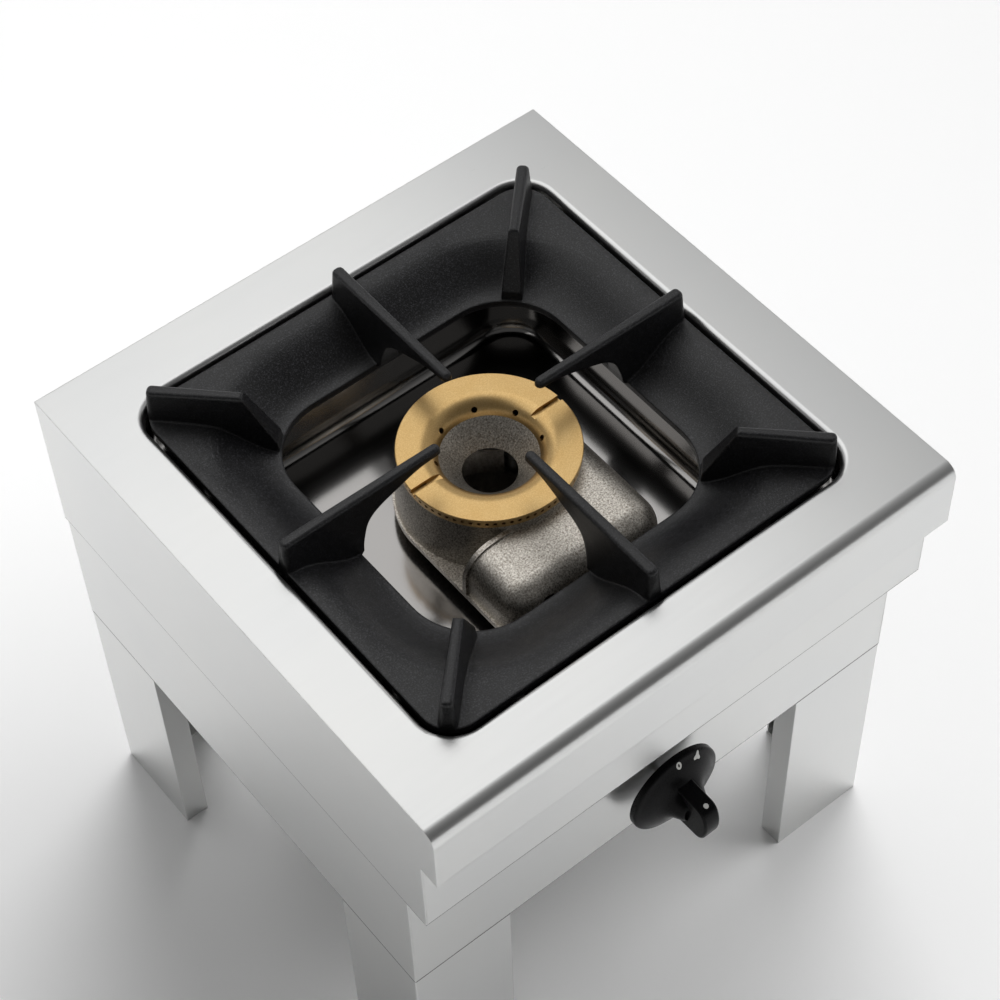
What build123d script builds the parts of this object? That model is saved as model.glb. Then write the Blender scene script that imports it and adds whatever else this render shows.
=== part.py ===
"""Stock pot range: a low single-burner gas cooker on four sheet-metal legs.

Millimetres, +Z up, front facing -Y, origin on the floor under the middle of the worktop.
"""

import os
from math import cos, pi, radians, sin, sqrt, tan

from build123d import *

os.makedirs("parts", exist_ok=True)

# Overall sizes
width = 400.0  # worktop, left to right
depth = 403.0  # worktop, front lip to rear edge
height = 415.0  # floor to worktop

# Clearances and small shared sizes
fit = 0.05  # running clearance, radial
air_gap = 0.3  # between parts that lift off, and around bolts
seam = 0.1  # between neighbouring sheets
through = 10.0  # how far a drill passes beyond thin sheet
over = 1.0  # how far a cut passes beyond a thicker piece
draft_angle = 5.0  # of the cast fins

# Worktop sheet and the stepped front under it
top_t = 1.0
nose_r = 9.3  # rounded front edge of the worktop
lip_drop = 51.5  # height of the front lip
apron_drop = 119.5  # depth of the aprons at the sides and rear
body_drop = 226.5  # worktop down to the top of the legs
panel_recess = 15.0  # upper front panel behind the lip's face
body_recess = 35.5  # knob panel behind the lip's face
panel_t = 1.0
panel_corner_r = 0.8
flange_w = 18.0  # folded edges of the panels
lap = 25.0  # how far the body panels reach up inside the apron
air_opening = (240.0, 181.0, 30.0)  # opening in the base: across, deep, corner radius
air_opening_y = 30.0

# Legs and the fixings of the sheet metal
leg_w = 76.0
leg_t = 1.5
leg_return = 18.0
leg_return_fold = 10.0  # the returns' inner faces stand this far apart from the corner's fold
leg_corner_r = 1.2
bolt_r = 3.0
bolt_head_r = 5.1
bolt_head_t = 4.0
nut_r = 5.4
nut_t = 5.0
leg_bolt_len = 14.0
leg_bolt_start = 5.0  # below the top of the leg
leg_bolt_along = 52.0  # leg bolt from the leg's corner, along the face
leg_bolt_in = 10.0  # and in from the face
screw_r = 1.9
screw_head_r = 3.6
screw_head_t = 2.4
screw_len = 8.0
screw_step = 30.0  # rear screws from the ends of the rear panel's flange

# Pressed well
well_half = 158.7
well_corner = 24.0
roll_r = 4.0  # rolled edge of the well
roll_room = 6.0  # how far the cutting form reaches past the roll
ledge_drop = 26.0  # ledge that carries the grate
ledge_r = 5.0
basin_half = 113.5
basin_corner = 30.0
basin_drop = 70.0
floor_r = 8.5

# Cast-iron grate: a dished rim, four long fins, four corner fins and eight feet
grate_gap = 3.5  # grate's rim to the wall of the well
grate_rim_drop = 1.5  # rim below the worktop
band_t = 5.0
rim_w = 50.2
rim_fall = 21.0
rim_bend = 1.15  # how late the dish falls away
rim_corner = (21.0, 75.0, 46.0)  # plan corner radius at the outer edge, a third in and at the inner edge
rim_third = 0.28
rim_sections = 21
rim_foot = 2.0  # level edge round the opening
fin_rise = 22.0  # top of the fins above the worktop
fin_base_t = 16.2  # thickness at the level of the inner rim, at the rim and at the tip
fin_tip_t = 14.4
fin_round = 2.6
fin_edge = 0.8  # fins' outer ends to the grate's edge, at the top
fin_sunk = 2.5  # how far a fin reaches into the rim
finger_tip = 38.0  # tips of the long fins from the burner's axis
corner_tip = 151.0  # inner ends of the corner fins, at the top
foot_r = 8.0
foot_inset = 15.2
foot_spread = 0.62  # share of the grate's half width
foot_sunk = 6.0
# Side views as (distance from the burner's axis, level above the worktop)
finger_under = ((finger_tip, 17.2), (57.0, 15.8), (66.4, 13.2), (78.2, 9.4), (90.0, 4.6), (96.5, -1.5),
                (100.2, -11.0), (102.3, -22.0))
finger_in_rim = ((110.0, -23.5), (118.0, -20.0), (126.0, -15.5), (134.0, -10.5), (141.0, -7.0),
                 (148.0, -4.5))
corner_slope = (131.2, -16.0)
corner_in_rim = ((139.5, -24.0), (147.0, -20.0), (155.0, -15.5), (162.0, -9.5), (168.0, -6.5),
                 (185.0, -4.0))

# Burner crown
crown_r = 58.2
crown_low_r = 57.5
crown_drop = 10.3  # crown's rim below the worktop
crown_h = 7.2
crown_t = 2.9  # top of the crown
crown_edge = 0.5
crown_hole_r = 31.5
crown_roll_r = 44.0  # where the flat top starts to roll into the hole
collar_drop = 3.0  # collar inside the drum
collar_t = 2.0
port_count = 72
port_r = 1.2
port_drop = 3.4
inner_port_count = 8
inner_port_r = 2.0
inner_port_at = (33.8, 5.0)  # radius, and depth below the top
inner_port_tilt = 45.0
notch_y = (-0.5, 3.7)
notch_drop = 3.0
notch_rib = (1.0, 2.2)  # metal beside the notch and under it
notch_in = 4.5  # from the hole

# Burner casting
drum_top_r = 57.0
drum_base_r = 60.6
seat_drop = 9.4  # funnel's edge below the crown's top
funnel_drop = 35.0
bore_r = 17.6
flare_r = 36.0  # underside of the throat
wall = 4.0
flange_r = 62.0
flange_drop = 55.0
flange_t = 4.0
flange_lead = 1.0  # flange in front of the chamber
chamber_x = 60.5
chamber_drop = 22.5  # top of the mixing chamber below the worktop
chamber_front = 103.0
chamber_back = 50.0
chamber_r = 20.0
chamber_corner = 22.0
arm_in = 25.0  # inner side of the chamber's arm beside the drum
arm_back = 20.0
rib_out = 1.6  # rib across the chamber, above its skin
rib_y = (-53.4, -50.2)
rib_end = -24.0
burner_bolts = ((-38, -84), (38, -84), (38, 24), (-38, 24))  # from the burner's axis
boss_h = 10.0
bolt_in_boss = 8.0
spacer_r = 7.0

# Injector, holder and air shutter
injector_x = -35.0
injector_drop = 42.0
mouth_r = 11.5
injector_r = 4.0
injector_thread_r = 3.0
injector_bore_r = 0.7
injector_hex_t = 4.0
injector_nose_t = 3.0
injector_nose_angle = 25.0
sleeve_t = 1.5
sleeve_reach = 7.0  # into the basin
holder_r = 11.0
holder_len = 26.0
riser_share = 0.6  # of the holder's length, from the basin's wall
riser_t = 3.0
riser_len = 16.0
shutter_r = 13.0
shutter_t = 1.5
shutter_out = 4.0  # basin's wall to the shutter's disc
shutter_hub = (2.0, 1.0)  # wall of the shutter's hub, and how far it stands behind the disc

# Gas tap, its bracket and its spindle
knob_drop = 185.0  # knob's axis below the worktop
tap_r = 16.0
tap_len = 50.0
tap_gap = 10.0  # knob panel to the front of the tap
tap_mid_share = 0.55
tap_flange = (46.0, 4.0, 30.0)
tap_screw_x = 18.0
port_len = 12.0  # of the tap's two branches
port_t = 3.0
gas_way_r = 3.0
branch_sunk = 2.0  # how far a branch is sunk into the body that carries it
bonnet_r = 13.0
bonnet_out = 5.0
bonnet_spigot = 2.0
plug_r = 9.0
plug_back = 3.0  # plug behind the tap's front
plug_len = 31.5
plug_bore_len = 37.5
plug_slot = (-3.0, 3.0, 5.0)
plug_way_r = 2.0
socket_r = 6.0
socket_len = 22.0
spindle_r = 4.0
spindle_in = 10.0
guide_t = 6.0
flat = 1.3
flat_start = 6.0  # from the back of the knob
spindle_end_gap = 1.0  # spindle's end to the bottom of the knob's bore
push_travel = 4.0
spring_r = 4.2
wire_r = 0.5
spring_turns = 4
bracket_w = 50.0
bracket_t = 2.0
bracket_foot = 26.0
bracket_screw_in = 18.0
tap_screw_len = 7.0

# Flame-failure device
magnet_r = 9.0
magnet_len = 28.0
magnet_neck_r = 5.0
magnet_neck_len = 5.0
probe_r = 2.0
probe_at = 66.8  # from the burner's axis
probe_angle = 52.0
probe_drop = 24.0
probe_tail = 12.0  # below the basin
gland_t = 1.7
gland_across = 10.0
gland_len = (4.0, 5.0)  # above and below the basin
lead_r = 1.5
lead_bend = 12.0
lead_loop = 40.0  # behind the magnet unit

# Pipes and inlet
burner_pipe_r = 4.0
burner_pipe_bend = 10.0
supply_pipe_r = 6.0
supply_pipe_bend = 20.0
pipe_bore_share = 0.72
pipe_end_gap = 1.0  # pipe's end to the body of the tap
inlet_pipe_gap = 8.0  # pipe's end to the rear panel
small_nut = (15.0, 8.0)  # across flats, length
large_nut = (19.0, 9.0)
inlet_x = -120.0
inlet_r = 10.48
inlet_len = 14.0  # thread that stands out past the locknut
inlet_relief = 0.6
inlet_spare = 1.0  # neck behind the locknut
inlet_bore_r = 5.0
inlet_hex = (27.0, 5.0)
locknut_across = 30.0
locknut_t = 5.0

# Knob
knob_r = 34.5
knob_gap = 10.0  # knob panel to the knob's hub
skirt_back = 11.5  # knob panel to the back of the skirt
skirt_out = 17.0  # knob panel to the front of the skirt's rim
skirt_round = 2.5
skirt_wall = 3.0
skirt_fall = 1.0  # the skirt's underside falls back this much toward the rim
hub_r = 9.0
flare = ((28.0, 19.0), (21.0, 22.2), (14.0, 27.5), (9.0, 35.0))  # (radius, distance from the knob panel)
flare_top = 40.0
blade_t = 12.5
blade_half = 17.2
blade_shoulder = (41.0, 16.2)  # (distance from the knob panel, half height)
blade_corner = (46.6, 14.6)
blade_edge = (49.3, 11.0)
blade_out = 51.4
blade_round = 1.8
knob_bore = 24.0
clip_in = (8.0, 20.0)
clip_w = 3.6
clip_t = 0.5

# Levels and faces worked out from the sizes above
z_lip = height - lip_drop
z_apron = height - apron_drop
z_body = height - body_drop
z_hem = z_apron + lap
z_base = z_body + panel_t
z_base_top = z_base + panel_t
y_front = -depth / 2
y_rear = depth / 2
y_panel = y_front + panel_recess
y_body = y_front + body_recess
y_body_in = y_body + panel_t
y_hem = y_body - seam
x_side = width / 2 - top_t - seam
x_side_in = x_side - panel_t
x_in = x_side_in - seam
x_tab = x_side - flange_w - seam
x_screw = x_side - flange_w / 2
y_back = y_rear - top_t - seam
y_back_in = y_back - panel_t
screw_levels = (z_body + screw_step, z_apron - screw_step)
leg_bolt_xs = (-x_side + leg_bolt_along, x_side - leg_bolt_along)
z_ledge = height - ledge_drop
z_basin = height - basin_drop
y_wall = -basin_half - top_t
grate_half = well_half - grate_gap
rim_inner = grate_half - rim_w
z_rim = height - grate_rim_drop
z_rim_low = z_rim - rim_fall
z_fin = height + fin_rise
z_crown = height - crown_drop
z_seat = z_crown - crown_h
z_funnel = z_crown - seat_drop
z_throat = height - funnel_drop
z_chamber = height - chamber_drop
z_flange = height - flange_drop
z_under = z_flange - flange_t
hole_in = crown_hole_r + wall
cavity_r = drum_top_r - wall
z_injector = height - injector_drop
y_holder = y_wall - holder_len
y_riser = y_wall - riser_share * holder_len
z_riser = z_injector - holder_r - riser_len / 2 + branch_sunk
z_riser_low = z_riser - riser_len / 2
sleeve_r = injector_r + sleeve_t
sleeve_len = top_t + sleeve_reach
probe_x = probe_at * cos(radians(probe_angle))
probe_y = probe_at * sin(radians(probe_angle))
z_knob = height - knob_drop
y_tap = y_body_in + tap_gap
y_tap_end = y_tap + tap_len
y_tap_mid = y_tap + tap_mid_share * tap_len
y_bracket = y_tap - bracket_t
y_bracket_screw = y_bracket + bracket_screw_in
bracket_screw_x = bracket_w / 3
y_plug = y_tap + plug_back
y_knob_back = y_body - knob_gap
y_bore = y_knob_back - knob_bore


def save(builder, name):
    """Label a finished piece and write it to its own file."""
    builder.part.label = name
    export_step(builder.part, f"parts/{name}.step")


def box(x, y, z, mode=Mode.ADD):
    """A block between two limits on each axis."""
    with Locations(((x[0] + x[1]) / 2, (y[0] + y[1]) / 2, (z[0] + z[1]) / 2)):
        Box(abs(x[1] - x[0]), y[1] - y[0], z[1] - z[0], mode=mode)


def post(x, y, z, radius, length, mode=Mode.ADD):
    """An upright cylinder from its lower end."""
    with Locations((x, y, z)):
        Cylinder(radius, length, align=(Align.CENTER, Align.CENTER, Align.MIN), mode=mode)


def drill(x, y, z, radius):
    """A hole down through thin sheet at this level."""
    post(x, y, z - through, radius, 2 * through, mode=Mode.SUBTRACT)


def rod(x, y, z, radius, length, mode=Mode.ADD):
    """A bar along +Y from its front end."""
    with Locations(Plane((x, y, z), x_dir=(1, 0, 0), z_dir=(0, 1, 0))):
        Cylinder(radius, length, align=(Align.CENTER, Align.CENTER, Align.MIN), mode=mode)


def bore(x, y, z, radius, length):
    """The same bar, drilled away."""
    rod(x, y, z, radius, length, mode=Mode.SUBTRACT)


def turned(*points):
    """A solid of revolution about the burner's axis, from its half section as (radius, level)."""
    with BuildPart() as body:
        with BuildSketch(Plane.XZ):
            with BuildLine():
                Polyline(*points, close=True)
            make_face()
        revolve(axis=Axis.Z)
    return body.part


def tube(points, radius, bend):
    """A bent tube with a wall, following these corners."""
    start = Vector(*points[0])
    with BuildPart() as pipe:
        with BuildLine() as route:
            FilletPolyline(*points, radius=bend)
        with BuildSketch(Plane(start, z_dir=Vector(*points[1]) - start)):
            Circle(radius)
            Circle(pipe_bore_share * radius, mode=Mode.SUBTRACT)
        sweep(path=route.line)
    return pipe


def nut(centre, toward, hole_r, across, length):
    """A hexagon nut added to the piece being built, from this end face."""
    with BuildSketch(Plane(centre, z_dir=toward)) as face:
        RegularPolygon(across / 2, 6, major_radius=False)
        Circle(hole_r, mode=Mode.SUBTRACT)
    extrude(face.sketch, amount=length)


# ---------------------------------------------------------------- worktop
def loop_at(part, z, half):
    """Edges of a rounded square of this half width at this level."""
    def on_loop(edge):
        middle = edge.center()
        reach = max(abs(middle.X), abs(middle.Y))
        return abs(middle.Z - z) < fit and 0.9 * half < reach < 1.01 * half

    return part.edges().filter_by(on_loop)


def well_form(skin):
    """The space of the well; with a skin, the same form one sheet thickness larger."""
    top = height - skin
    half = well_half + skin
    inner = basin_half + skin
    mouth = half + roll_r + roll_room
    with BuildPart() as form:
        with BuildSketch(Plane.XY.offset(top)):
            RectangleRounded(2 * mouth, 2 * mouth, well_corner + roll_r + roll_room)
        extrude(amount=through)
        with BuildSketch(Plane.XY.offset(top)):
            RectangleRounded(2 * half, 2 * half, well_corner + skin)
        extrude(amount=-ledge_drop)
        with BuildSketch(Plane.XY.offset(top - ledge_drop)):
            RectangleRounded(2 * inner, 2 * inner, basin_corner + skin)
        extrude(amount=-(basin_drop - ledge_drop))
        fillet(loop_at(form.part, top - basin_drop, inner), floor_r + skin)
        fillet(loop_at(form.part, top - ledge_drop, inner), ledge_r - skin)
        fillet(loop_at(form.part, top - ledge_drop, half), ledge_r + skin)
        fillet(loop_at(form.part, top, half), roll_r - skin)
    return form.part


def apron_profile(skin):
    """Side view of the worktop: lip, rounded nose, flat top and rear apron."""
    face = y_front + skin
    back = y_rear - skin
    top = height - skin
    low = z_apron - 2 * skin
    with BuildLine() as outline:
        Line((face, z_lip + skin), (face, height - nose_r))
        TangentArc((face, height - nose_r), (y_front + nose_r, top), tangent=(0, 1))
        Polyline((y_front + nose_r, top), (back, top), (back, low), (y_panel, low), (y_panel, z_lip + skin),
                 (face, z_lip + skin))
    return outline.line


with BuildPart() as underside:
    with BuildSketch(Plane.YZ):
        add(apron_profile(top_t))
        make_face()
    extrude(amount=width / 2 - top_t, both=True)
    add(well_form(top_t), mode=Mode.SUBTRACT)

with BuildPart() as worktop:
    with BuildSketch(Plane.YZ):
        add(apron_profile(0))
        make_face()
    extrude(amount=width / 2, both=True)
    add(underside.part, mode=Mode.SUBTRACT)
    add(well_form(0), mode=Mode.SUBTRACT)
    bore(injector_x, y_wall - through, z_injector, sleeve_r + fit, 2 * through)
    drill(probe_x, probe_y, z_basin, probe_r + gland_t + fit)
    for x, y in burner_bolts:
        drill(x, y, z_basin, bolt_r + air_gap)
save(worktop, "worktop")


# ---------------------------------------------------------------- body panels
def leg_bolt_spots():
    """Bolt positions as (x, y), on both folded edges of every leg."""
    spots = []
    for x_sign in (-1, 1):
        for y_face, inward in ((y_body, 1), (y_back, -1)):
            spots.append((x_sign * (x_side - leg_bolt_in), y_face + inward * leg_bolt_along))
            spots.append((x_sign * (x_side - leg_bolt_along), y_face + inward * leg_bolt_in))
    return spots


with BuildPart() as upper_front_panel:
    box((-x_side, x_side), (y_panel, y_panel + panel_t), (z_apron, z_lip - seam))
    box((-x_side, x_side), (y_panel, y_hem), (z_apron, z_apron + panel_t))
    box((-x_side, x_side), (y_hem - panel_t, y_hem), (z_apron, z_hem))
    low_corners = upper_front_panel.edges().filter_by(Axis.Y).group_by(Axis.Z)[0]
    fillet(low_corners, panel_corner_r)
save(upper_front_panel, "upper_front_panel")

with BuildPart() as knob_panel:
    box((-x_in, x_in), (y_body, y_body_in), (z_body, z_hem))
    box((-x_tab, x_tab), (y_body, y_body + flange_w), (z_body, z_base))
    bore(0, y_body - through, z_knob, spindle_r + panel_t, 2 * through)
    for x in leg_bolt_xs:
        drill(x, y_body + leg_bolt_in, z_body, bolt_r + air_gap)
save(knob_panel, "knob_panel")


def side_panel(side):
    """One side of the body, folded inwards at the front, rear and bottom."""
    front = y_body_in + seam
    back = y_back_in - seam
    with BuildPart() as panel:
        box(sorted((side * x_side_in, side * x_side)), (y_body, y_back), (z_body, z_hem))
        box(sorted((side * (x_side - flange_w), side * x_side)), (front, back), (z_body, z_hem))
        room = sorted((side * (x_side - flange_w - through), side * x_side_in))
        box(room, (front + panel_t, back - panel_t), (z_base, z_hem + through), mode=Mode.SUBTRACT)
        for x, y in leg_bolt_spots():
            if x * side > 0:
                drill(x, y, z_body, bolt_r + air_gap)
        for z in screw_levels:
            bore(side * x_screw, y_back_in - through, z, screw_r + air_gap, 2 * through)
    return panel


save(side_panel(-1), "left_side_panel")
save(side_panel(1), "right_side_panel")

with BuildPart() as rear_panel:
    box((-x_in, x_in), (y_back_in, y_back), (z_body, z_hem))
    box((-x_tab, x_tab), (y_back - flange_w, y_back), (z_body, z_base))
    bore(inlet_x, y_back - through, z_knob, inlet_r + air_gap, 2 * through)
    for x in (-x_screw, x_screw):
        for z in screw_levels:
            bore(x, y_back - through, z, screw_r + air_gap, 2 * through)
    for x in leg_bolt_xs:
        drill(x, y_back - leg_bolt_in, z_body, bolt_r + air_gap)
save(rear_panel, "rear_panel")

with BuildPart() as base_panel:
    y_edge = panel_t + 2 * seam
    box((-x_in, x_in), (y_body_in + y_edge, y_back_in - y_edge), (z_base, z_base_top))
    with BuildSketch(Plane.XY.offset(z_base)):
        with Locations((0, air_opening_y)):
            RectangleRounded(*air_opening)
    extrude(amount=panel_t, mode=Mode.SUBTRACT)
    for x, y in leg_bolt_spots():
        drill(x, y, z_base, bolt_r + air_gap)
    for x in (-bracket_screw_x, bracket_screw_x):
        drill(x, y_bracket_screw, z_base, screw_r + air_gap)
save(base_panel, "base_panel")


# ---------------------------------------------------------------- legs
def leg(x_sign, y_sign):
    """A folded sheet leg in one corner: two faces, two returns, top and bottom flanges."""
    x_out = x_sign * x_side
    y_out = y_body if y_sign < 0 else y_back

    def corner(*points):
        """Plan outline drawn inwards from the leg's outer corner."""
        with BuildLine() as outline:
            Polyline(*[(x_out - x_sign * a, y_out - y_sign * b) for a, b in points], close=True)
        add(outline.line)
        make_face()

    w, r, t = leg_w, leg_return, leg_t
    far = leg_return + leg_return_fold
    with BuildPart() as folded:
        with BuildSketch():
            corner((0, 0), (w, 0), (w, r), (r, r), (r, w), (0, w))
        extrude(amount=z_body)
        with BuildSketch(Plane.XY.offset(t)):
            corner((t, t), (w - t, t), (w - t, far), (far, far), (far, w - t), (t, w - t))
        extrude(amount=z_body - 2 * t, mode=Mode.SUBTRACT)
        for x, y in leg_bolt_spots():
            if x * x_sign > 0 and y * y_sign > 0:
                drill(x, y, z_body, bolt_r + air_gap)
        outer = folded.edges().filter_by(Axis.Z).sort_by_distance((x_out, y_out, z_body / 2))[0]
        fillet(outer, leg_corner_r)
    return folded


save(leg(-1, -1), "front_left_leg")
save(leg(1, -1), "front_right_leg")
save(leg(-1, 1), "rear_left_leg")
save(leg(1, 1), "rear_right_leg")

with BuildPart() as leg_bolts:
    for x, y in leg_bolt_spots():
        post(x, y, z_body - leg_t - bolt_head_t, bolt_head_r, bolt_head_t)
        post(x, y, z_body - leg_bolt_start, bolt_r, leg_bolt_len)
save(leg_bolts, "leg_bolts")

with BuildPart() as leg_nuts:
    for x, y in leg_bolt_spots():
        nut((x, y, z_base_top), (0, 0, 1), bolt_r + fit, sqrt(3) * nut_r, nut_t)
save(leg_nuts, "leg_nuts")

with BuildPart() as rear_screws:
    for x in (-x_screw, x_screw):
        for z in screw_levels:
            rod(x, y_back, z, screw_head_r, screw_head_t)
            rod(x, y_back - screw_len, z, screw_r, screw_len)
save(rear_screws, "rear_screws")


# ---------------------------------------------------------------- grate
def rim_section(part_way):
    """Half width, drop below the outer edge and corner radius, from 0 outside to 1 inside."""
    fall = rim_fall * (1 - cos(pi * part_way**rim_bend)) / 2
    outer, middle, inner = rim_corner
    if part_way < rim_third:
        corner_r = outer + (middle - outer) * sin(pi / 2 * part_way / rim_third)
    else:
        corner_r = middle + (inner - middle) * (part_way - rim_third) / (1 - rim_third)
    return grate_half - rim_w * part_way, fall, corner_r


def rim_plug(lower):
    """The space inside the grate's dished rim, moved down by this much."""
    with BuildPart() as plug:
        for i in range(rim_sections):
            half, fall, corner_r = rim_section(i / (rim_sections - 1))
            with BuildSketch(Plane.XY.offset(z_rim - fall - lower)):
                RectangleRounded(2 * half, 2 * half, corner_r)
        loft(ruled=True)
        with BuildSketch(Plane.XY.offset(z_rim - lower)):
            RectangleRounded(2 * grate_half, 2 * grate_half, rim_corner[0])
        extrude(amount=max(lower, over))
    return plug.part


def fin(outline, tip, reach, low):
    """A cast fin along +X from its side view, with draft on its faces, round ends and a rounded top."""
    lean = (z_fin - low) * tan(radians(draft_angle))
    with BuildPart() as body:
        with BuildSketch(Plane.XY.offset(low)) as plan:
            half_near = fin_tip_t / 2
            half_far = fin_base_t / 2
            Polygon((tip - lean, -half_near), (reach + lean, -half_far), (reach + lean, half_far),
                    (tip - lean, half_near), align=None)
            fillet(plan.vertices(), half_near - seam)
        extrude(amount=z_fin - low, taper=draft_angle)
        with BuildSketch(Plane.XZ) as side_view:
            with BuildLine():
                add(outline)
            make_face()
        extrude(side_view.sketch, amount=fin_base_t, both=True, mode=Mode.INTERSECT)
        fillet(body.faces().sort_by(Axis.Z)[-1].edges(), fin_round)
    return body.part


def above_worktop(points):
    """Side-view points with their levels measured from the floor."""
    return [(r, height + z) for r, z in points]


fin_low = z_rim_low - fin_sunk
finger_out = grate_half - fin_edge
with BuildLine() as finger_outline:
    under = above_worktop(finger_under)
    inner_end = finger_tip - fin_base_t
    Spline(*under, tangents=((1, -0.02), (0.08, -1)))
    Polyline(under[-1], (rim_inner + seam, fin_low), *above_worktop(finger_in_rim),
             (grate_half, z_rim - fin_sunk), (grate_half, z_fin), (inner_end, z_fin),
             (inner_end, under[0][1]), under[0])

rim_diagonal = sqrt(2) * grate_half - (sqrt(2) - 1) * rim_corner[0]
corner_out = rim_diagonal - fin_edge
corner_in = sqrt(2) * rim_inner - (sqrt(2) - 1) * rim_corner[2] + rim_foot / 4
with BuildLine() as corner_outline:
    Polyline((rim_diagonal, z_rim - fin_sunk), (rim_diagonal, z_fin), (corner_tip, z_fin),
             *above_worktop([corner_slope]), (corner_in, fin_low), *above_worktop(corner_in_rim),
             close=True)

rim_below = rim_plug(band_t)
rim_above = rim_plug(0)
finger = fin(finger_outline.line, finger_tip, finger_out, fin_low)
corner_fin = fin(corner_outline.line, corner_in, corner_out, fin_low)
with BuildPart() as grate:
    add(rim_below)
    add(rim_above, mode=Mode.SUBTRACT)
    with BuildSketch(Plane.XY.offset(z_rim_low + rim_foot)):
        RectangleRounded(2 * rim_inner, 2 * rim_inner, rim_corner[2])
    extrude(amount=-2 * through, mode=Mode.SUBTRACT)
    with PolarLocations(0, 4):
        add(finger)
    with PolarLocations(0, 4, start_angle=45):
        add(corner_fin)
    foot_far = grate_half - foot_inset
    foot_near = foot_spread * grate_half
    for x, y in ((foot_far, foot_near), (foot_near, foot_far)):
        for x_sign in (-1, 1):
            for y_sign in (-1, 1):
                post(x_sign * x, y_sign * y, z_ledge, foot_r, z_rim - foot_sunk - z_ledge)
save(grate, "grate")


# ---------------------------------------------------------------- burner
def chamber(inset):
    """The mixing chamber: a block in front of the drum with an arm along its right side."""
    side = chamber_x - inset
    front = chamber_front - inset
    back = chamber_back + inset
    arm_front = chamber_front - chamber_corner
    arm_rear = arm_back - inset
    with BuildPart() as block:
        with BuildSketch(Plane.XY.offset(z_flange)) as plan:
            with Locations((0, -(front + back) / 2)):
                Rectangle(2 * side, front - back)
            fillet(plan.vertices().group_by(Axis.Y)[0], chamber_corner - inset)
            with Locations(((side + arm_in + inset) / 2, (arm_rear - arm_front) / 2)):
                Rectangle(side - arm_in - inset, arm_rear + arm_front)
        extrude(amount=z_chamber - inset - z_flange)
        on_top = block.edges().group_by(Axis.Z)[-1]
        rolled = on_top.filter_by(lambda e: e.center().Y < -back - over or e.center().X > side - fit)
        fillet(rolled, chamber_r - inset)
    return block.part


above = z_crown + over
with BuildPart() as burner_cavity:
    add(turned((0, z_flange), (drum_base_r - wall, z_flange), (cavity_r, z_seat), (cavity_r, above),
               (0, above)))
    add(chamber(wall))
    add(turned((0, z_under), (flare_r + wall, z_under), (bore_r + wall, z_throat - wall),
               (hole_in, z_funnel), (hole_in, above + over), (0, above + over)), mode=Mode.SUBTRACT)

with BuildPart() as chamber_rib:
    add(chamber(-rib_out))
    box((-2 * chamber_x, rib_end), rib_y, (z_flange, above), mode=Mode.INTERSECT)

with BuildPart() as burner_body:
    add(turned((0, z_under), (drum_base_r, z_under), (drum_base_r, z_flange), (drum_top_r, z_seat),
               (0, z_seat)))
    add(chamber(0))
    add(chamber_rib.part)
    with BuildSketch(Plane.XY.offset(z_under)) as flange_plan:
        Circle(flange_r)
        with Locations((0, -(chamber_front + flange_lead) / 2)):
            Rectangle(2 * flange_r, chamber_front + flange_lead)
        fillet(flange_plan.vertices().group_by(Axis.Y)[0], chamber_corner)
    extrude(amount=flange_t)
    add(burner_cavity.part, mode=Mode.SUBTRACT)
    add(turned((0, z_under - over), (flare_r, z_under - over), (bore_r, z_throat), (crown_hole_r, z_funnel),
               (hole_in + over, z_funnel), (hole_in + over, above), (0, above)), mode=Mode.SUBTRACT)
    for x, y in burner_bolts:
        post(x, y, z_under, 2 * bolt_r, boss_h)
        post(x, y, z_under, bolt_r + fit, boss_h, mode=Mode.SUBTRACT)
    bore(injector_x, -chamber_front - over, z_injector, mouth_r, 2 * wall)
save(burner_body, "burner_body")

with BuildPart() as burner_crown:
    collar_r = cavity_r - air_gap
    z_cavity = z_crown - crown_t
    with BuildSketch(Plane.XZ):
        with BuildLine():
            TangentArc((crown_roll_r, z_crown), (crown_hole_r, z_funnel), tangent=(-1, 0))
            Polyline((crown_hole_r, z_funnel), (hole_in - fit, z_funnel),
                     (hole_in + collar_t, z_cavity - collar_t), (hole_in + 2 * collar_t, z_cavity),
                     (collar_r - collar_t, z_cavity), (collar_r - collar_t, z_seat - collar_drop),
                     (collar_r, z_seat - collar_drop), (collar_r, z_seat), (crown_low_r, z_seat),
                     (crown_r, z_crown - crown_edge), (crown_r - crown_edge, z_crown),
                     (crown_roll_r, z_crown))
        make_face()
    revolve(axis=Axis.Z)
    near = crown_hole_r + notch_in
    beside, below = notch_rib
    under_notch = (notch_y[0] - beside, notch_y[1] + beside)
    for side in (-1, 1):
        box(sorted((side * near, side * (collar_r - collar_t))), under_notch, (z_cavity - below, z_cavity))
        box(sorted((side * near, side * (crown_r + over))), notch_y, (z_crown - notch_drop, above),
            mode=Mode.SUBTRACT)
    inner_at, inner_drop = inner_port_at
    with PolarLocations(inner_at, inner_port_count, start_angle=180 / inner_port_count):
        with Locations(Location((0, 0, z_crown - inner_drop), (0, -inner_port_tilt, 0))):
            Cylinder(inner_port_r, through, mode=Mode.SUBTRACT)
    with PolarLocations(crown_r - wall, port_count):
        with Locations(Location((0, 0, z_crown - port_drop), (0, 90, 0))):
            Cylinder(port_r, 4 * wall, mode=Mode.SUBTRACT)
save(burner_crown, "burner_crown")

with BuildPart() as burner_spacers:
    for x, y in burner_bolts:
        post(x, y, z_basin, spacer_r, z_under - z_basin)
        post(x, y, z_basin, bolt_r + fit, z_under - z_basin, mode=Mode.SUBTRACT)
save(burner_spacers, "burner_spacers")

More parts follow.
